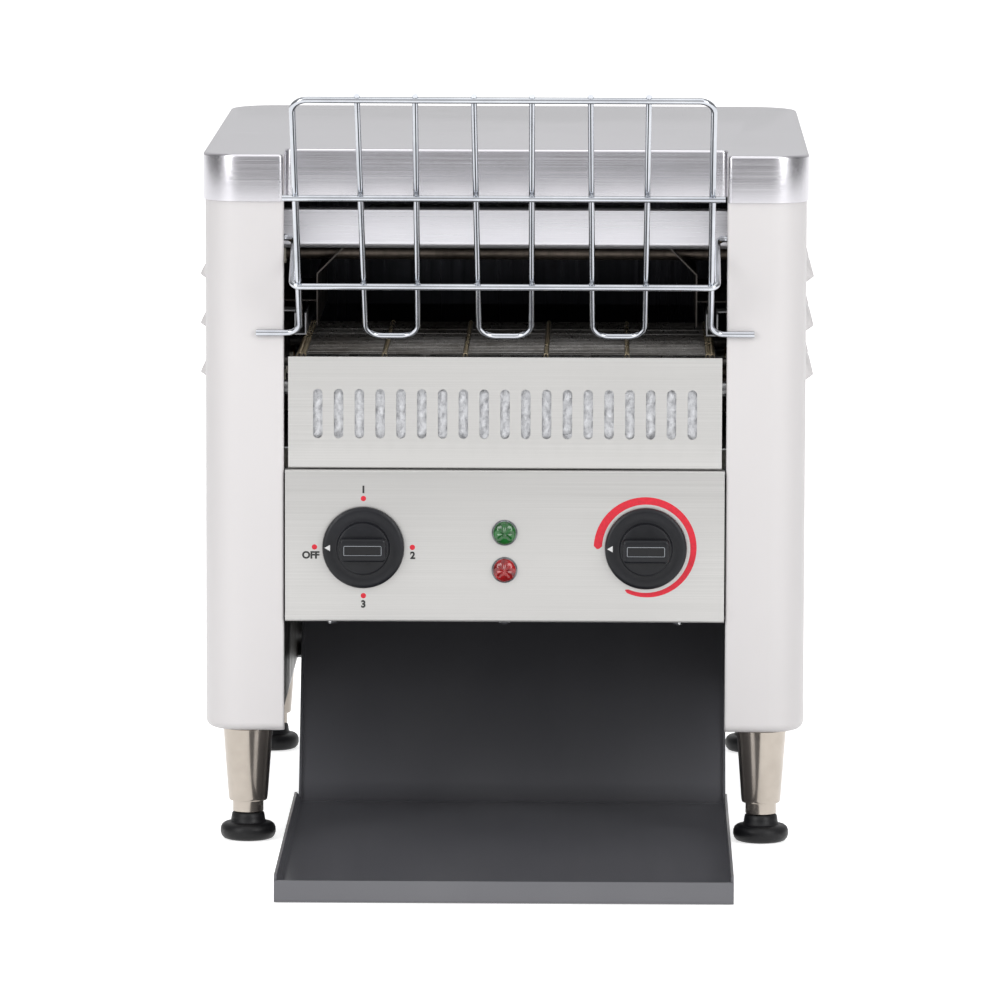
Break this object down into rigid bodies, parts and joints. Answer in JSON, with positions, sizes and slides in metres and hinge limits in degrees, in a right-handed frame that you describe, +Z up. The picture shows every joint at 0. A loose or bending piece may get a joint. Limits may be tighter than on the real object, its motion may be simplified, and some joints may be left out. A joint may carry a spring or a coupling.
{
  "type": "conveyor_toaster",
  "caption": "Countertop conveyor toaster with a leaning wire loading rack, wire belt, painted side panels, control panel and a loose discharge tray",
  "frame": {"origin": "on the table, under the middle of the whole machine with its tray and loading rack", "axes": "+X to the right seen from the feed side, +Y from the feed side to the back, +Z up"},
  "size_m": [0.368, 0.606, 0.4557],
  "materials": {
    "painted_case": "satin",
    "zinc_sheet": "satin",
    "brushed_cover": "brushed",
    "dark_enamel": "gloss",
    "fasteners": "polished",
    "nickel_legs": "polished",
    "rubber_feet": "matte",
    "belt_steel": "satin",
    "machined_steel": "machined",
    "bronze_bushes": "machined",
    "motor_case": "satin",
    "heater_tube": "satin",
    "ceramic": "matte",
    "insulation_wool": "matte",
    "knob_black": "satin",
    "knob_insert": "satin",
    "switch_plastic": "matte",
    "green_lens": "gloss",
    "red_lens": "gloss",
    "chrome_wire": "polished"
  },
  "bodies": {
    "casing": {"side_panel_left": "painted_case", "side_panel_right": "painted_case", "inner_wall_left": "zinc_sheet", "inner_wall_right": "zinc_sheet", "base_plate": "zinc_sheet", "rear_cover": "zinc_sheet", "control_box": "zinc_sheet", "upper_reflector": "zinc_sheet", "lower_reflector": "zinc_sheet", "belt_pan": "zinc_sheet", "toast_slide": "zinc_sheet", "belt_guides": "zinc_sheet", "top_cover": "brushed_cover", "nose_guard": "brushed_cover", "slotted_front_panel": "brushed_cover", "control_panel": "brushed_cover", "rear_cover_screws": "fasteners", "leg_nuts": "fasteners", "control_panel_screws": "fasteners", "legs": "nickel_legs", "conveyor_belt": "belt_steel", "drive_chain": "belt_steel", "belt_rails": "belt_steel", "shaft_bushes": "bronze_bushes", "rack_bushes": "bronze_bushes", "gear_motor": "motor_case", "upper_heating_elements": "heater_tube", "lower_heating_elements": "heater_tube", "element_insulators": "ceramic", "front_insulation": "insulation_wool", "insulation_blanket": "insulation_wool", "selector_switch": "switch_plastic", "speed_control": "switch_plastic", "lamp_holders": "switch_plastic", "fan_frame": "switch_plastic", "cord_gland": "switch_plastic", "terminal_block": "switch_plastic", "power_lamp": "green_lens", "heat_lamp": "red_lens", "fan_guard": "chrome_wire", "lamp_bezels": "chrome_wire"},
    "selector": {"selector_knob": "knob_black", "selector_knob_insert": "knob_insert", "selector_knob_spindle": "machined_steel"},
    "browning": {"browning_knob": "knob_black", "browning_knob_insert": "knob_insert", "browning_knob_spindle": "machined_steel"},
    "rack": {"loading_rack": "chrome_wire"},
    "tray": {"discharge_tray": "dark_enamel"},
    "drive": {"drive_shaft": "machined_steel", "drive_sprockets": "machined_steel", "shaft_sprocket": "machined_steel"},
    "idler": {"idler_shaft": "machined_steel", "idler_rollers": "machined_steel"},
    "motor_output": {"motor_sprocket": "machined_steel"},
    "rotor": {"fan_rotor": "switch_plastic"},
    "front_left_foot": {"foot_front_left": "rubber_feet"},
    "front_right_foot": {"foot_front_right": "rubber_feet"},
    "rear_left_foot": {"foot_rear_left": "rubber_feet"},
    "rear_right_foot": {"foot_rear_right": "rubber_feet"}
  },
  "joints": [
    {"name": "selector_turn", "type": "hinge", "parent": "casing", "child": "selector", "pos_m": [-0.0836, -0.099, 0.178], "axis": [0, 1, 0], "range_deg": [0, 270]},
    {"name": "browning_turn", "type": "hinge", "parent": "casing", "child": "browning", "pos_m": [0.0836, -0.099, 0.178], "axis": [0, 1, 0], "range_deg": [0, 285]},
    {"name": "rack_lift", "type": "hinge", "parent": "casing", "child": "rack", "pos_m": [0, -0.089, 0.361], "axis": [-1, 0, 0], "range_deg": [0, 100]},
    {"name": "tray_slide", "type": "slide", "parent": "casing", "child": "tray", "axis": [0, -1, 0], "range_m": [0, 0.09]},
    {"name": "drive_shaft_spin", "type": "hinge", "parent": "casing", "child": "drive", "pos_m": [0, 0.117, 0.269], "axis": [-1, 0, 0], "continuous": true},
    {"name": "idler_shaft_spin", "type": "hinge", "parent": "casing", "child": "idler", "pos_m": [0, -0.066, 0.269], "axis": [-1, 0, 0], "continuous": true},
    {"name": "motor_output_spin", "type": "hinge", "parent": "casing", "child": "motor_output", "pos_m": [0.158, -0.012, 0.178], "axis": [-1, 0, 0], "continuous": true},
    {"name": "fan_spin", "type": "hinge", "parent": "casing", "child": "rotor", "pos_m": [-0.06, 0.275, 0.15], "axis": [0, 1, 0], "continuous": true},
    {"name": "front_left_foot_turn", "type": "hinge", "parent": "casing", "child": "front_left_foot", "pos_m": [-0.153, -0.078, 0], "axis": [0, 0, 1], "continuous": true},
    {"name": "front_right_foot_turn", "type": "hinge", "parent": "casing", "child": "front_right_foot", "pos_m": [0.153, -0.078, 0], "axis": [0, 0, 1], "continuous": true},
    {"name": "rear_left_foot_turn", "type": "hinge", "parent": "casing", "child": "rear_left_foot", "pos_m": [-0.153, 0.271, 0], "axis": [0, 0, 1], "continuous": true},
    {"name": "rear_right_foot_turn", "type": "hinge", "parent": "casing", "child": "rear_right_foot", "pos_m": [0.153, 0.271, 0], "axis": [0, 0, 1], "continuous": true}
  ],
  "couplings": [
    {"joint": "idler_shaft_spin", "follows": "drive_shaft_spin", "ratio": 1},
    {"joint": "motor_output_spin", "follows": "drive_shaft_spin", "ratio": 2.2222}
  ]
}
